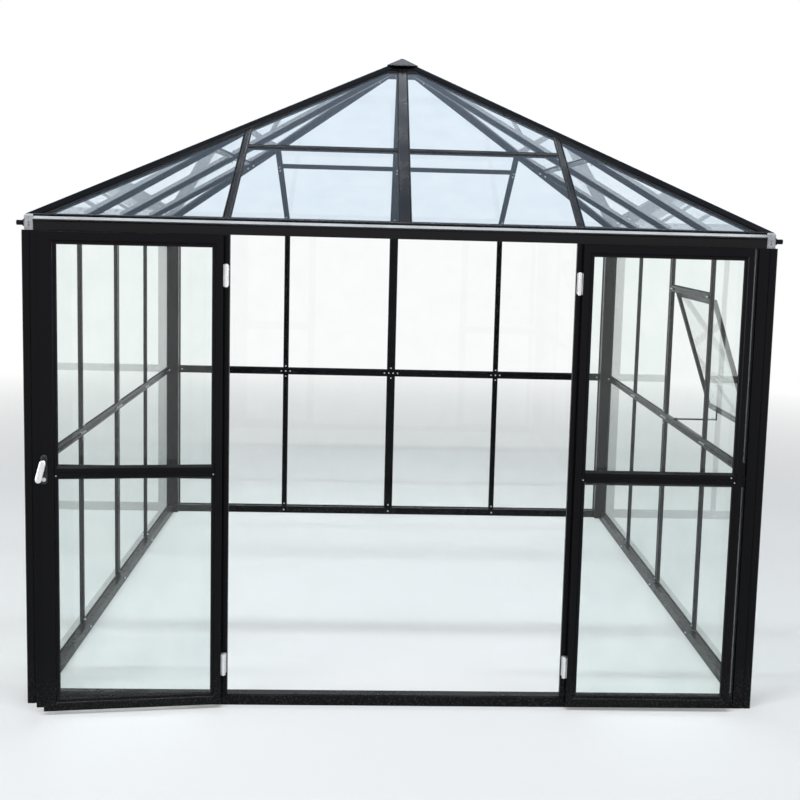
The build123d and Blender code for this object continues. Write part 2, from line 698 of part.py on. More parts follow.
def build_walls(names):
    """Walls, posts and eaves; returns the gutters, which the rafters are fitted to."""
    walls = (front_wall(), plain_wall(1, vent_bay=1), plain_wall(2), plain_wall(3))
    wall_panes = [sheet for _, _, panes in walls for sheet in panes]
    gutters = [cut(gutter(side), walls[side][2]) for side in range(4)]
    rails = [cut(base_rail(side), walls[side][2]) for side in range(4)]
    node("front_sill", rails[:1])
    node("base_rails", rails[1:])
    node("corner_posts", [cut(corner_post(side), wall_panes) for side in range(4)])
    node("rail_brackets", rail_brackets())
    for name, (bars, cross, panes) in zip(names, walls):
        node("door_jambs" if name == "front" else name + "_bars", bars)
        node(name + "_rails", cross)
        node(name + "_glass", panes)
    for name, shape in zip(names, gutters):
        node(name + "_gutter", [shape])
    node("gutter_corners", around(gutter_corner()))
    outlet = gutter_outlet()
    pair = [outlet, mirror(outlet, Plane.YZ)]
    rear = Plane.XZ.offset(-CENTRE_Y)
    node("gutter_outlets", pair + [mirror(shape, rear) for shape in pair])
    return gutters


def build_roof(names, gutters):
    panes = slope_panes()
    cap = apex_cap()
    core = hub(APEX_Z - 300, APEX_Z + 100)
    hips = around(hip_rafter())
    left_panes = [turned(sheet, 3) for sheet in panes]
    centre = cut(rafter(0, PAIR_BAR, SLOPE_LENGTH, GROOVE), [gutters[0], core, cap] + panes)
    beside = [centre, turned(centre, 3), gutters[0], gutters[3]]
    hip = largest(cut(hips[0], beside + [core, cap] + panes + left_panes))
    jack = largest(cut(rafter(-BAY, BAR, hip_v(BAY)), [gutters[0], beyond_hip()] + panes))
    bars = [largest(cut(bar, panes)) for bar in cross_bars()]
    node("centre_rafters", around(centre))
    node("hip_rafters", around(hip))
    node("jack_rafters", around(jack) + around(mirror(jack, Plane.YZ)))
    node("roof_cross_bars", [shape for bar in bars for shape in around(bar)])
    for side, name in enumerate(names):
        node(name + "_roof_glass", [turned(sheet, side) for sheet in panes])
    node("apex_hub", [hub(APEX_Z - 62, CAP_Z)])
    node("apex_cap", [cap])


def build_doors():
    jamb_hinges = []
    leaves = ((-1, "left", LEFT_FREE_X, LOCK_STILE), (1, "right", RIGHT_FREE_X, FREE_STILE))
    for side, name, free_x, free_width in leaves:
        stiles, rails, panes = leaf_parts(free_x, free_width)
        if side < 0:
            stiles[1] = stiles[1] + astragal()
            node("left_door_handle", place_leaf(handle(), side))
        node(name + "_door_stiles", place_leaf(stiles, side))
        node(name + "_door_rails", place_leaf(rails, side))
        node(name + "_door_glass", place_leaf(panes, side))
        node(name + "_door_hinges", place_leaf([hinge_door_half(z) for z in HINGE_Z], side))
        jamb_hinges += [hinge_jamb_half(z, side) for z in HINGE_Z]
    node("jamb_hinges", jamb_hinges)


def main():
    os.makedirs("parts", exist_ok=True)
    names = ("front", "right", "rear", "left")
    gutters = build_walls(names)
    build_roof(names, gutters)
    bars, sheet = vent()
    node("vent_sash", bars)
    node("vent_glass", [sheet])
    node("vent_stay", [vent_stay()])
    build_doors()


main()
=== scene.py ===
import json
import math

import bmesh
import bpy
from mathutils import Matrix, Vector

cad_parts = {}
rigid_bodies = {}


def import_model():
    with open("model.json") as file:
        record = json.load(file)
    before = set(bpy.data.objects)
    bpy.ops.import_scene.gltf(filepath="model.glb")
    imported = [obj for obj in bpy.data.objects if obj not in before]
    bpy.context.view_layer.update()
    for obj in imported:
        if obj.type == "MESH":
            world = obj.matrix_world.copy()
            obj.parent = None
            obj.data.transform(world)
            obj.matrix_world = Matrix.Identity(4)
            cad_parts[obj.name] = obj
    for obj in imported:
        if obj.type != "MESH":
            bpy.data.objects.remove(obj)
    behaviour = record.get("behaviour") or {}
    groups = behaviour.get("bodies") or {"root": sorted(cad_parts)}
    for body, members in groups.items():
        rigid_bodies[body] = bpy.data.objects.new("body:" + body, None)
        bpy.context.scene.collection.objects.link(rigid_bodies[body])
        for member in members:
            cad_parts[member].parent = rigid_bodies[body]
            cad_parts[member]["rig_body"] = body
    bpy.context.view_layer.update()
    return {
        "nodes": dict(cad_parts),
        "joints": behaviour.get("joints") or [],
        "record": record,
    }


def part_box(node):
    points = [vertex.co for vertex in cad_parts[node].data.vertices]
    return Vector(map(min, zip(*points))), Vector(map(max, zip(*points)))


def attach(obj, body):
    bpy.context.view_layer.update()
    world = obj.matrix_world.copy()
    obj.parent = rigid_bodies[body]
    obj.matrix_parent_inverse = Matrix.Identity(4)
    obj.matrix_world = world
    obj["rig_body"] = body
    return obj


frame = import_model()


# Camera, at the photograph's place

CAMERA_AT = Vector((-0.109, -4.409, 2.039))
CAMERA_YAW = math.radians(-2.404)
CAMERA_PITCH = math.radians(-6.159)
CAMERA_ROLL = math.radians(1.5)
CAMERA_LENS = 48.82
CAMERA_SENSOR = 36
CAMERA_SHIFT = (-0.0265, -0.0780)
CAMERA_FAR = 500


def make_camera():
    ahead = Vector((
        -math.sin(CAMERA_YAW) * math.cos(CAMERA_PITCH),
        math.cos(CAMERA_YAW) * math.cos(CAMERA_PITCH),
        math.sin(CAMERA_PITCH),
    ))
    level = Vector((math.cos(CAMERA_YAW), math.sin(CAMERA_YAW), 0))
    above = level.cross(ahead)
    right = level * math.cos(CAMERA_ROLL) + above * math.sin(CAMERA_ROLL)
    up = right.cross(ahead)
    data = bpy.data.cameras.new("camera")
    data.lens = CAMERA_LENS
    data.sensor_width = CAMERA_SENSOR
    data.shift_x, data.shift_y = CAMERA_SHIFT
    data.clip_end = CAMERA_FAR
    camera = bpy.data.objects.new("camera", data)
    turn = Matrix((right, up, -ahead)).transposed().to_4x4()
    camera.matrix_world = Matrix.Translation(CAMERA_AT) @ turn
    bpy.context.scene.collection.objects.link(camera)
    bpy.context.scene.camera = camera


# Places that the frame gives, in metres

FACE_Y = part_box("front_sill")[0].y           # outer face of the front wall
SIDE_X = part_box("corner_posts")[1].x         # outer face of the right wall
CENTRE_Y = sum(corner.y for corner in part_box("corner_posts")) / 2
RAIL_Z = sum(corner.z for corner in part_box("rear_rails")) / 2
BASE_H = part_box("front_sill")[1].z           # top of the sill and base rails
EAVE_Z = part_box("rear_bars")[1].z            # underside of the eave beam
INNER_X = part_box("rear_rails")[1].x          # inner side of the corner posts
RAIL_HALF = (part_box("rear_rails")[1].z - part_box("rear_rails")[0].z) / 2
BAY = INNER_X / 2                            # middle of a wall to its thin bars

# Hinge axis of each leaf, and how far it stands open from shut, which is its whole travel

PINS = {joint["child"]: Vector(joint["pos_m"]) for joint in frame["joints"]}
LEAF_OPEN = {
    joint["child"]: math.radians(max(abs(limit) for limit in joint["range_deg"]))
    for joint in frame["joints"]
}

# Sections of the walls and the roof, as they are built

BAR_DEPTH = 0.022            # wall's outer face to the inner face of its bars and rails
BASE_DEPTH = 0.050           # the same at the base rails
EAVE_DEPTH = 0.058           # the same at the eave beam
GROOVE_DEPTH = 0.004         # groove in the outer face of a rail
BITE = 0.008                 # depth that a pane's edge sits in its bars
TRANSOM_HALF = 0.018         # half the height of the bar that the vent hangs from
STAY_T = 0.007               # thickness of the vent's stay
ROOF_PITCH = math.radians(29.7)
ROOF_APEX_Z = 2.862          # where the undersides of the roof glass would meet
RAFTER_DEPTH = 0.022         # rafter below the glass
CROSS_BAR_V = 0.725          # up a slope to the cross bar between its panes
SLOPE_LENGTH = SIDE_X / math.cos(ROOF_PITCH)

# Leaves, hinges and lock, with runs measured from the hinge axis along a leaf

LEAF_HALF_T = 0.0125         # half the thickness of a leaf
LEAF_BEAD_STEP = 0.004       # how far the bead round a pane lies behind the leaf's face
LEAF_HINGE_INNER = 0.050     # run to the inner edge of the stile at the hinges
LEAF_FREE_INNER = {"left_door": 0.656, "right_door": 0.671}     # the same at the free edge
LEAF_MID_Z = 1.004           # middle of a leaf's middle rail
PLATE_TOP = LEAF_HALF_T + 0.0053             # just above the handle's plates
LOCK_RUN, LOCK_LIFT, LOCK_Z = 0.704, 0.0225, 0.980
HINGE_Z = (0.183, 1.800)
HINGE_PLATE_T = 0.0025
BARREL_HALF = 0.045          # half the length of a hinge's barrel


def turned(point, side):
    """A point of the front wall carried round to side 1 (right), 2 (rear) or 3 (left)."""
    middle = Vector((0, CENTRE_Y, 0))
    return middle + Matrix.Rotation(math.radians(90 * side), 3, "Z") @ (Vector(point) - middle)


def turned_way(way, side):
    """A direction on the front wall, carried round in the same way."""
    return Matrix.Rotation(math.radians(90 * side), 3, "Z") @ Vector(way)


def slope_axes():
    """Up the front slope, and out of it."""
    up = Vector((0, math.cos(ROOF_PITCH), math.sin(ROOF_PITCH)))
    out = Vector((0, -math.sin(ROOF_PITCH), math.cos(ROOF_PITCH)))
    return up, out


def on_slope(u, v, lift):
    """A point of the front slope: across, up the slope from the eaves, and off the glass's underside."""
    up, out = slope_axes()
    foot = Vector((0, FACE_Y, ROOF_APEX_Z - SIDE_X * math.tan(ROOF_PITCH)))
    return foot + Vector((u, 0, 0)) + up * v + out * lift


def leaf_axes(body):
    """Along an open leaf from its hinge axis, and out of the face that looks to the front."""
    side = 1 if PINS[body].x > 0 else -1
    angle = LEAF_OPEN[body]
    along = Vector((-side * math.cos(angle), -math.sin(angle), 0))
    out = Vector((side * along.y, -side * along.x, 0))
    return along, out


def on_leaf(body, run, out_by, z):
    """A point of an open leaf: along it, off its middle plane, and its height."""
    along, out = leaf_axes(body)
    point = PINS[body] + along * run + out * out_by
    return Vector((point.x, point.y, z))


# Helpers for node materials

class Shader:
    """The nodes of one material or world, with short calls that add and link them."""

    def __init__(self, owner, output="OutputMaterial"):
        owner.use_nodes = True
        self.owner = owner
        self.output = output
        self.tree = owner.node_tree
        self.tree.nodes.clear()

    def feed(self, socket, value):
        if isinstance(value, bpy.types.NodeSocket):
            self.tree.links.new(value, socket)
        else:
            socket.default_value = value

    def add(self, kind, settings=None, **inputs):
        node = self.tree.nodes.new("ShaderNode" + kind)
        for key, value in (settings or {}).items():
            setattr(node, key, value)
        for key, value in inputs.items():
            self.feed(node.inputs[key.replace("_", " ")], value)
        return node

    def place(self):
        """Place on the object, which is its place in the frame at rest."""
        return self.add("TexCoord").outputs["Object"]

    def parts(self, vector):
        return self.add("SeparateXYZ", Vector=vector).outputs

    def noise(self, vector, scale, detail=2.0):
        return self.add("TexNoise", Vector=vector, Scale=scale, Detail=detail).outputs["Fac"]

    def stretched(self, vector, scale):
        return self.add("Mapping", Vector=vector, Scale=scale).outputs["Vector"]

    def bump(self, height, strength, distance):
        return self.add("Bump", Height=height, Strength=strength, Distance=distance).outputs["Normal"]

    def ramp(self, value, low, high, to_low=0.0, to_high=1.0):
        """The value between low and high, carried to the range from to_low to to_high."""
        inputs = {"Value": value, "From Min": low, "From Max": high, "To Min": to_low, "To Max": to_high}
        return self.add("MapRange", **inputs).outputs["Result"]

    def pair(self, kind, operation, a, b):
        """Outputs of a node that works on two values."""
        node = self.add(kind, {"operation": operation})
        for socket, value in zip(node.inputs, (a, b)):
            self.feed(socket, value)
        return node.outputs

    def math(self, operation, a, b=0.0):
        return self.pair("Math", operation, a, b)[0]

    def blend(self, factor, a, b):
        """Colour a, going over to b with the factor."""
        node = self.add("Mix", {"data_type": "RGBA"})
        colours = [socket for socket in node.inputs if socket.type == "RGBA"]
        self.feed(node.inputs[0], factor)
        for socket, value in zip(colours, (a, b)):
            self.feed(socket, value)
        return next(socket for socket in node.outputs if socket.type == "RGBA")

    def principled(self, **inputs):
        return self.add("BsdfPrincipled", **inputs).outputs["BSDF"]

    def mix(self, factor, first, second):
        node = self.add("MixShader")
        for socket, value in zip(node.inputs, (factor, first, second)):
            self.feed(socket, value)
        return node.outputs["Shader"]

    def finish(self, surface):
        self.add(self.output, Surface=surface)
        return self.owner


def new_shader(name):
    return Shader(bpy.data.materials.new(name))


def rgb(r, g, b):
    return (r, g, b, 1.0)


# Materials

WHITE = rgb(1, 1, 1)
BLACK_PAINT = rgb(0.0032, 0.0032, 0.0045)
# Colour of dust and splashes; on faces that look up it is also a painted sheen
DUST_AND_SHEEN = rgb(0.045, 0.042, 0.037)
WALL_GLASS = {"clean": rgb(0.96, 0.98, 0.972), "marked": rgb(0.93, 0.957, 0.952)}
# Roof panes are bluer than the walls' panes: a painted reflection of the sky, since both are the same clear
# glass
ROOF_GLASS_PAINTED_SKY = {"clean": rgb(0.905, 0.952, 0.985), "marked": rgb(0.86, 0.92, 0.965)}
GLASS_SHADOW = rgb(0.93, 0.96, 0.95)
GLASS_INDEX = 1.27           # low, so that the panes stay clear in a white room
SPLASH_HEIGHT = 0.22         # dirt is thrown up to here from the ground


def black_powder_coat(name, rough_low, rough_high, specular):
    """Black with orange peel, thin dust on faces that look up which also paints a lighter sheen on the
    tops, and splashes near the ground.
    """
    shader = new_shader(name)
    place = shader.place()
    peel = shader.bump(shader.noise(place, scale=700.0), strength=0.12, distance=0.0003)
    cloud = shader.noise(place, scale=5.0, detail=4.0)
    specks = shader.noise(place, scale=140.0, detail=4.0)
    facing_up = shader.parts(shader.add("NewGeometry").outputs["Normal"])["Z"]
    thickness = shader.ramp(cloud, 0.4, 0.7, 0.1, 0.5)
    # Faces that look up are lighter: settled dust, and also a painted sheen on the tops
    settled_dust_and_sheen = shader.math("MULTIPLY", shader.ramp(facing_up, 0.55, 1.0), thickness)
    near_ground = shader.ramp(shader.parts(place)["Z"], 0.0, SPLASH_HEIGHT, 1.0, 0.0)
    splashed = shader.math("MULTIPLY", near_ground, shader.ramp(specks, 0.5, 0.72, 0.0, 0.8))
    dust_and_sheen = shader.math("MAXIMUM", settled_dust_and_sheen, splashed)
    colour = shader.blend(dust_and_sheen, BLACK_PAINT, DUST_AND_SHEEN)
    polish = shader.ramp(cloud, 0.3, 0.7, rough_low, rough_high)
    rough = shader.math("ADD", polish, shader.math("MULTIPLY", dust_and_sheen, 0.25))
    return shader.finish(
        shader.principled(Base_Color=colour, Roughness=rough, Normal=peel, Specular_IOR_Level=specular)
    )


def glass(name, clean, marked):
    """Clear panes with a faint tint, rain marks and the slight waves of toughened glass."""
    shader = new_shader(name)
    place = shader.place()
    marks = shader.noise(place, scale=7.0, detail=5.0)
    waves = shader.bump(shader.noise(place, scale=2.2, detail=1.0), strength=0.06, distance=0.004)
    tint = shader.blend(shader.ramp(marks, 0.35, 0.75), clean, marked)
    pane = shader.principled(
        Base_Color=tint, Normal=waves, Roughness=0.0, IOR=GLASS_INDEX, Transmission_Weight=1.0
    )
    through = shader.add("BsdfTransparent", Color=GLASS_SHADOW).outputs["BSDF"]
    is_shadow = shader.add("LightPath").outputs["Is Shadow Ray"]
    return shader.finish(shader.mix(is_shadow, pane, through))


def brushed(shader, place):
    """Roughness, normal and cloudiness of steel brushed along its height."""
    grain = shader.noise(shader.stretched(place, (900.0, 900.0, 30.0)), scale=1.0, detail=3.0)
    cloud = shader.noise(place, scale=40.0, detail=3.0)
    dull = shader.ramp(cloud, 0.4, 0.8, 0.0, 0.12)
    rough = shader.math("ADD", shader.ramp(grain, 0.3, 0.7, 0.2, 0.32), dull)
    return rough, shader.bump(grain, strength=0.15, distance=0.0002), cloud


def bright_steel():
    """Satin steel of the hinges."""
    shader = new_shader("bright_steel")
    rough, normal, cloud = brushed(shader, shader.place())
    colour = shader.blend(shader.ramp(cloud, 0.5, 0.8), rgb(0.82, 0.82, 0.83), rgb(0.68, 0.67, 0.65))
    return shader.finish(shader.principled(Base_Color=colour, Roughness=rough, Normal=normal, Metallic=1.0))


def handle_finish(body):
    """Bright steel levers and barrels; the flat plates on the leaf's faces are black."""
    shader = new_shader("handle_steel_and_black")
    place = shader.place()
    from_pin = shader.pair("VectorMath", "SUBTRACT", place, PINS[body])["Vector"]
    off_plane = shader.pair("VectorMath", "DOT_PRODUCT", from_pin, leaf_axes(body)[1])["Value"]
    is_steel = shader.math("GREATER_THAN", shader.math("ABSOLUTE", off_plane), PLATE_TOP)
    rough, normal, cloud = brushed(shader, place)
    bright = shader.blend(shader.ramp(cloud, 0.5, 0.8), rgb(0.85, 0.85, 0.86), rgb(0.74, 0.73, 0.72))
    colour = shader.blend(is_steel, rgb(0.016, 0.016, 0.018), bright)
    return shader.finish(
        shader.principled(Base_Color=colour, Metallic=is_steel, Roughness=rough, Normal=normal)
    )


def zinc():
    """Plated screws and nuts."""
    shader = new_shader("zinc_plate")
    patches = shader.noise(shader.place(), scale=300.0, detail=3.0)
    colour = shader.blend(shader.ramp(patches, 0.4, 0.7), rgb(0.74, 0.75, 0.77), rgb(0.55, 0.55, 0.56))
    rough = shader.ramp(patches, 0.3, 0.7, 0.2, 0.4)
    return shader.finish(shader.principled(Base_Color=colour, Roughness=rough, Metallic=1.0))


def grey_plastic():
    """Light grey moulded corner pieces, with dirty stains."""
    shader = new_shader("grey_plastic")
    place = shader.place()
    moulded = shader.bump(shader.noise(place, scale=700.0), strength=0.2, distance=0.0002)
    stain = shader.ramp(shader.noise(place, scale=60.0, detail=4.0), 0.45, 0.75)
    colour = shader.blend(stain, rgb(0.45, 0.45, 0.47), rgb(0.27, 0.265, 0.26))
    return shader.finish(shader.principled(Base_Color=colour, Roughness=0.45, Normal=moulded))


def black_rubber():
    """Glazing seals, matt and a little chalky."""
    shader = new_shader("black_rubber")
    place = shader.place()
    bloom = shader.ramp(shader.noise(place, scale=90.0, detail=4.0), 0.45, 0.8)
    colour = shader.blend(bloom, rgb(0.009, 0.009, 0.01), rgb(0.028, 0.027, 0.026))
    grain = shader.bump(shader.noise(place, scale=1500.0), strength=0.2, distance=0.0002)
    return shader.finish(
        shader.principled(Base_Color=colour, Roughness=0.7, Normal=grain, Specular_IOR_Level=0.3)
    )


def paint(name, finish):
    slots = frame["nodes"][name].data.materials
    slots.clear()
    slots.append(finish)


def paint_nodes():
    """The record's material slots, then the nodes that look different from the rest of their slot."""
    finishes = {
        "black_frame": black_powder_coat("black_powder_coat", 0.16, 0.26, 0.11),
        "clear_glass": glass("clear_glass", **WALL_GLASS),
        "bright_steel": bright_steel(),
        "grey_plastic": grey_plastic(),
    }
    for part in frame["record"]["subparts"]:
        paint(part["node"], finishes[part["material_slot"]])
    paint("left_door_handle", handle_finish("left_door"))
    glossy = black_powder_coat("glossy_black_gutter", 0.07, 0.12, 0.2)
    # The roof panes' blue tint is a painted reflection of the sky.
    glass_with_painted_sky = glass("roof_glass", **ROOF_GLASS_PAINTED_SKY)
    for side in ("front", "right", "rear", "left"):
        paint(side + "_gutter", glossy)
        paint(side + "_roof_glass", glass_with_painted_sky)


BEVEL_WIDTH = 0.0007
BEVELLED = (
    "left_door_stiles", "left_door_rails", "right_door_stiles", "right_door_rails", "vent_sash",
    "corner_posts", "door_jambs", "front_rails", "apex_cap", "rail_brackets",
)


def soften_edges():
    """Hairline bevels, which also show the mitres where two bars of a leaf meet."""
    for name in BEVELLED:
        bevel = frame["nodes"][name].modifiers.new("hairline", "BEVEL")
        bevel.width = BEVEL_WIDTH
        bevel.segments = 2
        bevel.limit_method = "ANGLE"
        bevel.angle_limit = math.radians(30)


def new_piece(name, shape, material, body):
    """Turn a bmesh into a named object, with its material and the body it rides on."""
    bmesh.ops.recalc_face_normals(shape, faces=shape.faces)
    mesh = bpy.data.meshes.new(name)
    shape.to_mesh(mesh)
    shape.free()
    mesh.materials.append(material)
    piece = bpy.data.objects.new(name, mesh)
    bpy.context.scene.collection.objects.link(piece)
    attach(piece, body)


# Seals along the panes

SEAL_W = 0.0045
SEAL_H = 0.0030
SAME_POINT = 1e-5            # corners of a mesh nearer than this are one


def islands(mesh):
    """For each loose part of a mesh, its corner points and the normal of its largest face."""
    parts = []
    shape = bmesh.new()
    shape.from_mesh(mesh)
    bmesh.ops.remove_doubles(shape, verts=shape.verts, dist=SAME_POINT)
    left = dict.fromkeys(shape.verts)
    while left:
        found = [left.popitem()[0]]
        for vert in found:
            for edge in vert.link_edges:
                other = edge.other_vert(vert)
                if other in left:
                    del left[other]
                    found.append(other)
        faces = [face for vert in found for face in vert.link_faces]
        widest = max(faces, key=lambda face: face.calc_area())
        parts.append(([vert.co.copy() for vert in found], widest.normal.copy()))
    shape.free()
    return parts


def pane_outline(points, normal):
    """Corners of a pane's face on the side of the normal, in order about it."""
    heights = [point.dot(normal) for point in points]
    level = (min(heights) + max(heights)) / 2
    corners = [point for point, height in zip(points, heights) if height > level]
    middle = sum(corners, Vector()) / len(corners)
    across = (corners[0] - middle).normalized()
    upward = normal.cross(across)

    def turn(point):
        arm = point - middle
        return math.atan2(arm.dot(upward), arm.dot(across))

    return sorted(corners, key=turn)


def inset_ways(corners, normal):
    """For each corner, the way that moves both its edges inwards by one unit."""
    ways = []
    for number, corner in enumerate(corners):
        before = (corner - corners[number - 1]).normalized()
        after = (corners[(number + 1) % len(corners)] - corner).normalized()
        inward = (normal.cross(before), normal.cross(after))
        ways.append((inward[0] + inward[1]) / (1 + inward[0].dot(inward[1])))
    return ways


def add_seal(shape, corners, normal):
    """A rounded strip round one face of a pane, in the angle between glass and bar."""
    section = (
        (0, 0), (0, SEAL_H), (0.4 * SEAL_W, 0.85 * SEAL_H), (0.8 * SEAL_W, 0.5 * SEAL_H), (SEAL_W, 0),
    )
    rings = []
    for corner, way in zip(corners, inset_ways(corners, normal)):
        rings.append([shape.verts.new(corner + way * (BITE + a) + normal * b) for a, b in section])
    for number, ring in enumerate(rings):
        following = rings[(number + 1) % len(rings)]
        for k in range(len(section)):
            after = (k + 1) % len(section)
            shape.faces.new((ring[k], ring[after], following[after], following[k]))


def make_seals(material):
    """A piece of seals for each node of glass, on the body of that node."""
    for name in [part["node"] for part in frame["record"]["subparts"] if "glass" in part["node"]]:
        pane_node = frame["nodes"][name]
        shape = bmesh.new()
        for points, normal in islands(pane_node.data):
            for face in (normal, -normal):
                add_seal(shape, pane_outline(points, face), face)
        new_piece(name.replace("glass", "seals"), shape, material, pane_node["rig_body"])


# Nuts and screws

NUT_R = 0.0058
STAY_NUT_R = 0.0048
GROOVE_SCREW_R = 0.0028
LEAF_SCREW_R = 0.0032
HINGE_SCREW_R = 0.0036
LOCK_PIN_R = 0.0012
BAR_END = 0.014              # nut on a bar to the rail or beam that it meets
ROW_STEP = 0.030             # one nut to the next along a rail
POST_GAP = 0.016             # last nut of a rail to the corner post
EAVE_PAIR = 0.016            # half the distance between the two nuts over a bar
EAVE_ENDS = (0.020, 0.050)   # nuts on the eave beam to the corner post
RAFTER_FOOT = 0.130          # up the slope to the lowest nut of a rafter
RAFTER_HEAD = 0.150          # apex down to the top nut of a centre rafter
CROSS_BAR_GAP = 0.018        # middle of a cross bar to the nuts beside it
BESIDE_BAR = 0.050           # middle of a bar to the screws beside it in the rail's groove
VENT_ENDS = (0.010, 0.026)   # ends of the sash to the nuts over it
STAY_ENDS = (0.012, 0.020)   # ends of the stay to its nuts
HINGE_SCREW_OUT = 0.018      # hinge axis to the screws of its plate
HINGE_SCREW_STEP = 0.033     # one screw of a plate to the next

# Screws of a leaf, each as a run from the inner edge of its stile and a height from the middle rail

HINGE_SIDE = (-0.005, -0.012)
FREE_SIDE = (0.0045, -0.013)
IN_RAIL = (-0.011, 0.0085)

# Turned forms as (radius, lift) pairs, from the foot up

LOCK_RIM = ((0.0078, 0), (0.0078, 0.0010), (0.0070, 0.0016), (0.0060, 0.0016), (0.0056, 0.0006))
LOCK_FLOOR = 0.0006
LOCK_PIN_STEP = 0.0028
PIN_HEAD = ((0.0062, 0), (0.0062, 0.0012), (0.0045, 0.0026), (0.0020, 0.0032))


def ring_points(at, out, radius, lift, count):
    across = out.orthogonal().normalized()
    upward = out.cross(across)
    points = []
    for k in range(count):
        angle = 2 * math.pi * k / count
        points.append(at + out * lift + (across * math.cos(angle) + upward * math.sin(angle)) * radius)
    return points


def add_lathe(shape, at, out, rings, count):
    """Closed round form: each ring is (radius, lift), and both ends are closed with a face."""
    made = []
    for radius, lift in rings:
        made.append([shape.verts.new(point) for point in ring_points(at, out, radius, lift, count)])
    for lower, upper in zip(made, made[1:]):
        for k in range(count):
            after = (k + 1) % count
            shape.faces.new((lower[k], lower[after], upper[after], upper[k]))
    shape.faces.new(list(reversed(made[0])))
    shape.faces.new(made[-1])


def add_screw(shape, at, out, radius):
    """Button head with a hollow for the key."""
    head = ((1, 0), (1, 0.25), (0.8, 0.6), (0.5, 0.72), (0.42, 0.72), (0.4, 0.3))
    rings = [(r * radius, lift * radius) for r, lift in head]
    add_lathe(shape, Vector(at), Vector(out).normalized(), rings, 12)


def add_nut(shape, at, out, radius=NUT_R):
    """Six-sided nut with a bevelled top, and the end of its bolt."""
    at, out = Vector(at), Vector(out).normalized()
    nut = ((radius, 0), (radius, 0.75 * radius), (0.88 * radius, 0.9 * radius))
    bolt = ((0.5 * radius, 0.9 * radius), (0.5 * radius, 1.4 * radius), (0.4 * radius, 1.5 * radius))
    add_lathe(shape, at, out, nut, 6)
    add_lathe(shape, at, out, bolt, 10)


def wall_nuts(shape, side):
    """Nuts on the inner face of a wall: along its rail, at both ends of its bars and on its base rail."""
    inner = FACE_Y + BAR_DEPTH
    inward = turned_way((0, 1, 0), side)
    beside_rail = (RAIL_Z - RAIL_HALF - BAR_END, RAIL_Z + RAIL_HALF + BAR_END)
    bar_ends = beside_rail + (EAVE_Z - BAR_END, BASE_H + BAR_END)
    for x, count in ((-BAY, 3), (0, 4), (BAY, 3)):
        places = [(x + ROW_STEP * (k - (count - 1) / 2), inner, RAIL_Z) for k in range(count)]
        places += [(x, inner, z) for z in bar_ends]
        places.append((x, FACE_Y + BASE_DEPTH, BASE_H / 2))
        for place in places:
            add_nut(shape, turned(place, side), inward)
    for end in (-1, 1):
        add_nut(shape, turned((end * (INNER_X - POST_GAP), inner, RAIL_Z), side), inward)


def eave_nuts(shape, side):
    """Nuts on the inner face of an eave beam, over its bars and at both of its ends."""
    inner = FACE_Y + EAVE_DEPTH
    z = EAVE_Z + BAR_END
    inward = turned_way((0, 1, 0), side)
    for x in (-BAY, 0, BAY):
        for step in (-EAVE_PAIR, EAVE_PAIR):
            add_nut(shape, turned((x + step, inner, z), side), inward)
    for end in (-1, 1):
        for gap in EAVE_ENDS:
            add_nut(shape, turned((end * (INNER_X - gap), inner, z), side), inward)


def roof_nuts(shape, side):
    """Nuts under a slope, at the foot of its rafters, beside its cross bars and under the apex."""
    down = turned_way(-slope_axes()[1], side)
    for u in (-BAY, 0, BAY):
        places = [RAFTER_FOOT, CROSS_BAR_V - CROSS_BAR_GAP, CROSS_BAR_V + CROSS_BAR_GAP]
        if u == 0:
            places.append(SLOPE_LENGTH - RAFTER_HEAD)
        for v in places:
            add_nut(shape, turned(on_slope(u, v, -RAFTER_DEPTH), side), down)


def outer_screws(shape, side):
    """Screws in the groove of a wall's rail, one on each side of every bar."""
    out = turned_way((0, -1, 0), side)
    for x in (-BAY, 0, BAY):
        for end in (-1, 1):
            at = turned((x + end * BESIDE_BAR, FACE_Y + GROOVE_DEPTH, RAIL_Z), side)
            add_screw(shape, at, out, GROOVE_SCREW_R)


def vent_screws(shape, side):
    """Nuts over the channel of the bar that the sash hangs from, and on the flat bar of its stay."""
    low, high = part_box("vent_sash")
    inner = turned((0, FACE_Y + BAR_DEPTH, 0), side).x
    inward = turned_way((0, 1, 0), side)
    transom_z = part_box("right_rails")[1].z - TRANSOM_HALF
    near, far = VENT_ENDS
    for y in (low.y + near, low.y + far, high.y - far, high.y - near):
        add_nut(shape, (inner, y, transom_z), inward)
    foot_low, foot_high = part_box("vent_stay")
    middle = (foot_low.y + foot_high.y) / 2
    for x in (inner + STAY_ENDS[0], foot_high.x - STAY_ENDS[1]):
        add_nut(shape, (x, middle, foot_low.z + STAY_T), (0, 0, 1), STAY_NUT_R)


def hinge_screws(shape, body):
    """Screws on the jamb's plate, on its part beyond the barrel, and the heads of the pin."""
    pin = PINS[body]
    side = 1 if pin.x > 0 else -1
    for z in HINGE_Z:
        for end in (-1, 1):
            tip = Vector((pin.x, pin.y, z + end * BARREL_HALF))
            add_lathe(shape, tip, Vector((0, 0, end)), PIN_HEAD, 16)
        for step in (-HINGE_SCREW_STEP, 0, HINGE_SCREW_STEP):
            at = (pin.x + side * HINGE_SCREW_OUT, FACE_Y - HINGE_PLATE_T, z + step)
            add_screw(shape, at, (0, -1, 0), HINGE_SCREW_R)


def lock_faces(shape, body):
    """A raised rim on both ends of the lock barrel, and in it two small heads, one above the other."""
    out = leaf_axes(body)[1]
    for face in (-1, 1):
        at = on_leaf(body, LOCK_RUN, face * LOCK_LIFT, LOCK_Z)
        add_lathe(shape, at, out * face, LOCK_RIM, 20)
        for step in (-LOCK_PIN_STEP, LOCK_PIN_STEP):
            add_screw(shape, at + Vector((0, 0, step)) + out * face * LOCK_FLOOR, out * face, LOCK_PIN_R)


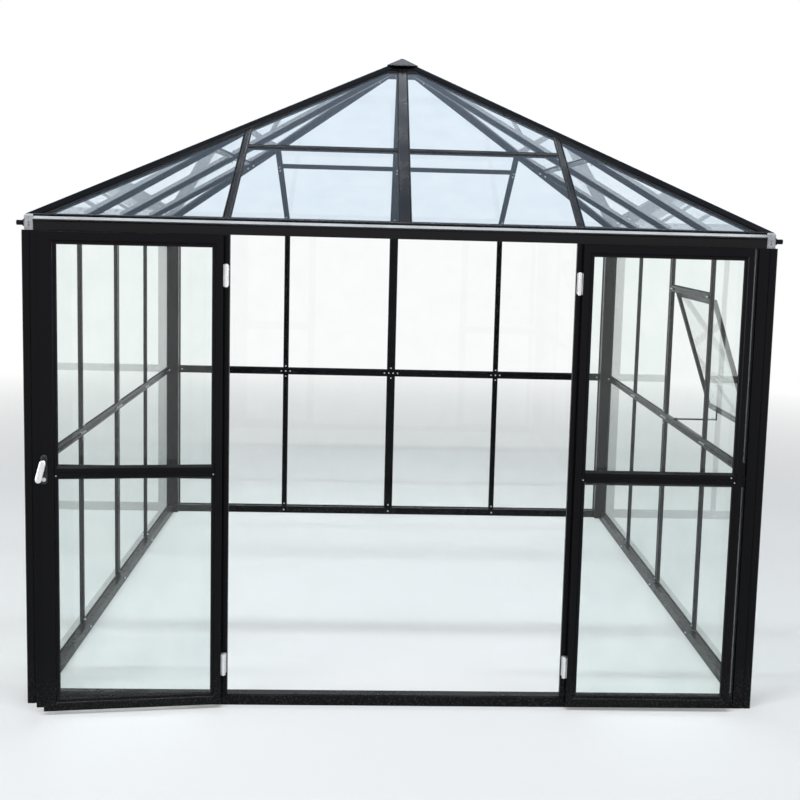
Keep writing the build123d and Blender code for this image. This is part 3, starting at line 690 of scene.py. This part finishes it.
def leaf_screws(shape, body):
    """Screws through the stiles' beads into the ends of the middle rail, on both faces."""
    out = leaf_axes(body)[1]
    free = LEAF_FREE_INNER[body]
    bead = LEAF_HALF_T - LEAF_BEAD_STEP
    places = [(LEAF_HINGE_INNER, HINGE_SIDE, bead), (free, FREE_SIDE, bead)]
    if body == "right_door":
        places.append((free, IN_RAIL, LEAF_HALF_T))
    for edge, (run, height), lift in places:
        for face in (-1, 1):
            at = on_leaf(body, edge + run, face * lift, LEAF_MID_Z + height)
            add_screw(shape, at, out * face, LEAF_SCREW_R)


def make_screws(material):
    """Each piece joins what one function makes for several sides or bodies."""
    makers = (
        ("wall_nuts", "house", wall_nuts, (1, 2, 3)),
        ("eave_nuts", "house", eave_nuts, (0, 1, 2, 3)),
        ("roof_nuts", "house", roof_nuts, (0, 1, 2, 3)),
        ("outer_screws", "house", outer_screws, (1, 2, 3)),
        ("vent_screws", "house", vent_screws, (1,)),
        ("hinge_screws", "house", hinge_screws, PINS),
        ("lock_faces", "left_door", lock_faces, ("left_door",)),
        ("left_door_screws", "left_door", leaf_screws, ("left_door",)),
        ("right_door_screws", "right_door", leaf_screws, ("right_door",)),
    )
    for name, body, add, places in makers:
        shape = bmesh.new()
        for place in places:
            add(shape, place)
        new_piece(name, shape, material, body)


# Floor, backdrop and light

FLOOR_HALF = 60
FLOOR_GREY = 0.8
FLOOR_LIFT = 0.25            # how much of the floor's look near the house is plain white
FADE_FROM, FADE_TO = 3.5, 9.0
SOFT_LIGHT = rgb(0.92, 0.96, 1.0)
SOFT_LEVEL = 0.28
SKY_BLUE = rgb(0.55, 0.74, 1.0)
SKY_FROM, SKY_TO = 0.28, 0.95
WARM, COOL, NEUTRAL = (1.0, 0.97, 0.92), (0.9, 0.95, 1.0), (0.95, 0.97, 1.0)
STRIP_LENGTH = 6.5
STRIP_Z, STRIP_OUT = 6.4, 1.9
SIDE_STRIP_X, SIDE_STRIP_Y = 6.5, -0.3


def seen_directly(shader):
    """1 for camera, glossy and transmission rays that no matt surface has scattered."""
    path = shader.add("LightPath").outputs
    seen = path["Is Camera Ray"]
    for kind in ("Is Glossy Ray", "Is Transmission Ray"):
        seen = shader.math("MAXIMUM", seen, path[kind])
    return shader.math("MULTIPLY", seen, shader.math("LESS_THAN", path["Diffuse Depth"], 0.5))


def floor_finish():
    """Pale floor that keeps shadows and goes over to the white of the backdrop away from the house."""
    shader = new_shader("pale_floor")
    distance = shader.pair("VectorMath", "DISTANCE", shader.place(), (0, CENTRE_Y, 0))["Value"]
    fade = shader.ramp(distance, FADE_FROM, FADE_TO, FLOOR_LIFT, 1.0)
    matt = shader.add("BsdfDiffuse", Color=rgb(FLOOR_GREY, FLOOR_GREY, FLOOR_GREY)).outputs["BSDF"]
    white = shader.add("Emission", Color=WHITE, Strength=1.0).outputs["Emission"]
    return shader.finish(shader.mix(shader.math("MULTIPLY", seen_directly(shader), fade), matt, white))


def make_floor():
    mesh = bpy.data.meshes.new("floor")
    corners = [(x * FLOOR_HALF, y * FLOOR_HALF, 0) for x, y in ((-1, -1), (1, -1), (1, 1), (-1, 1))]
    mesh.from_pydata(corners, [], [(0, 1, 2, 3)])
    mesh.materials.append(floor_finish())
    floor = bpy.data.objects.new("floor", mesh)
    bpy.context.scene.collection.objects.link(floor)


def make_world():
    """Even light from all round; what is seen is white, with a pale blue sky high up."""
    shader = Shader(bpy.data.worlds.new("studio"), "OutputWorld")
    soft = shader.add("Background", Color=SOFT_LIGHT, Strength=SOFT_LEVEL).outputs["Background"]
    height = shader.parts(shader.add("TexCoord").outputs["Generated"])["Z"]
    sky = shader.blend(shader.ramp(height, SKY_FROM, SKY_TO), WHITE, SKY_BLUE)
    seen = shader.add("Background", Color=sky, Strength=1.0).outputs["Background"]
    bpy.context.scene.world = shader.finish(shader.mix(seen_directly(shader), soft, seen))


def make_lamp(name, at, target, size, power, colour):
    """Rectangular lamp that lights the house and shows only in its gloss."""
    lamp = bpy.data.lights.new(name, "AREA")
    lamp.shape = "RECTANGLE"
    lamp.size, lamp.size_y = size
    lamp.energy = power
    lamp.color = colour
    lamp_object = bpy.data.objects.new(name, lamp)
    lamp_object.location = at
    lamp_object.visible_camera = False
    lamp_object.visible_transmission = False
    lamp_object.rotation_euler = (Vector(target) - Vector(at)).to_track_quat("-Z", "Y").to_euler()
    bpy.context.scene.collection.objects.link(lamp_object)


def make_lamps():
    """A soft key lamp, a strip over the front and rear eaves, and one at each side."""
    make_lamp("key", (-4.5, -3.5, 6.0), (0, 1.2, 1.0), size=(3.0, 3.0), power=120, colour=WARM)
    rear = 2 * CENTRE_Y
    strips = (("front_strip", 0, -STRIP_OUT, 0.3, 270), ("rear_strip", rear, STRIP_OUT, 0.6, 120))
    for name, y, out, width, power in strips:
        size = (STRIP_LENGTH, width)
        make_lamp(name, (0, y + out, STRIP_Z), (0, y, 2.0), size=size, power=power, colour=COOL)
    for side in (-1, 1):
        at = (side * SIDE_STRIP_X, SIDE_STRIP_Y, 1.5)
        make_lamp("side_strip", at, (0, SIDE_STRIP_Y, 1.4), size=(0.5, 3.4), power=60, colour=NEUTRAL)


make_camera()
paint_nodes()
soften_edges()
make_seals(black_rubber())
make_screws(zinc())
make_floor()
make_world()
make_lamps()
bpy.context.scene.view_settings.view_transform = "Standard"
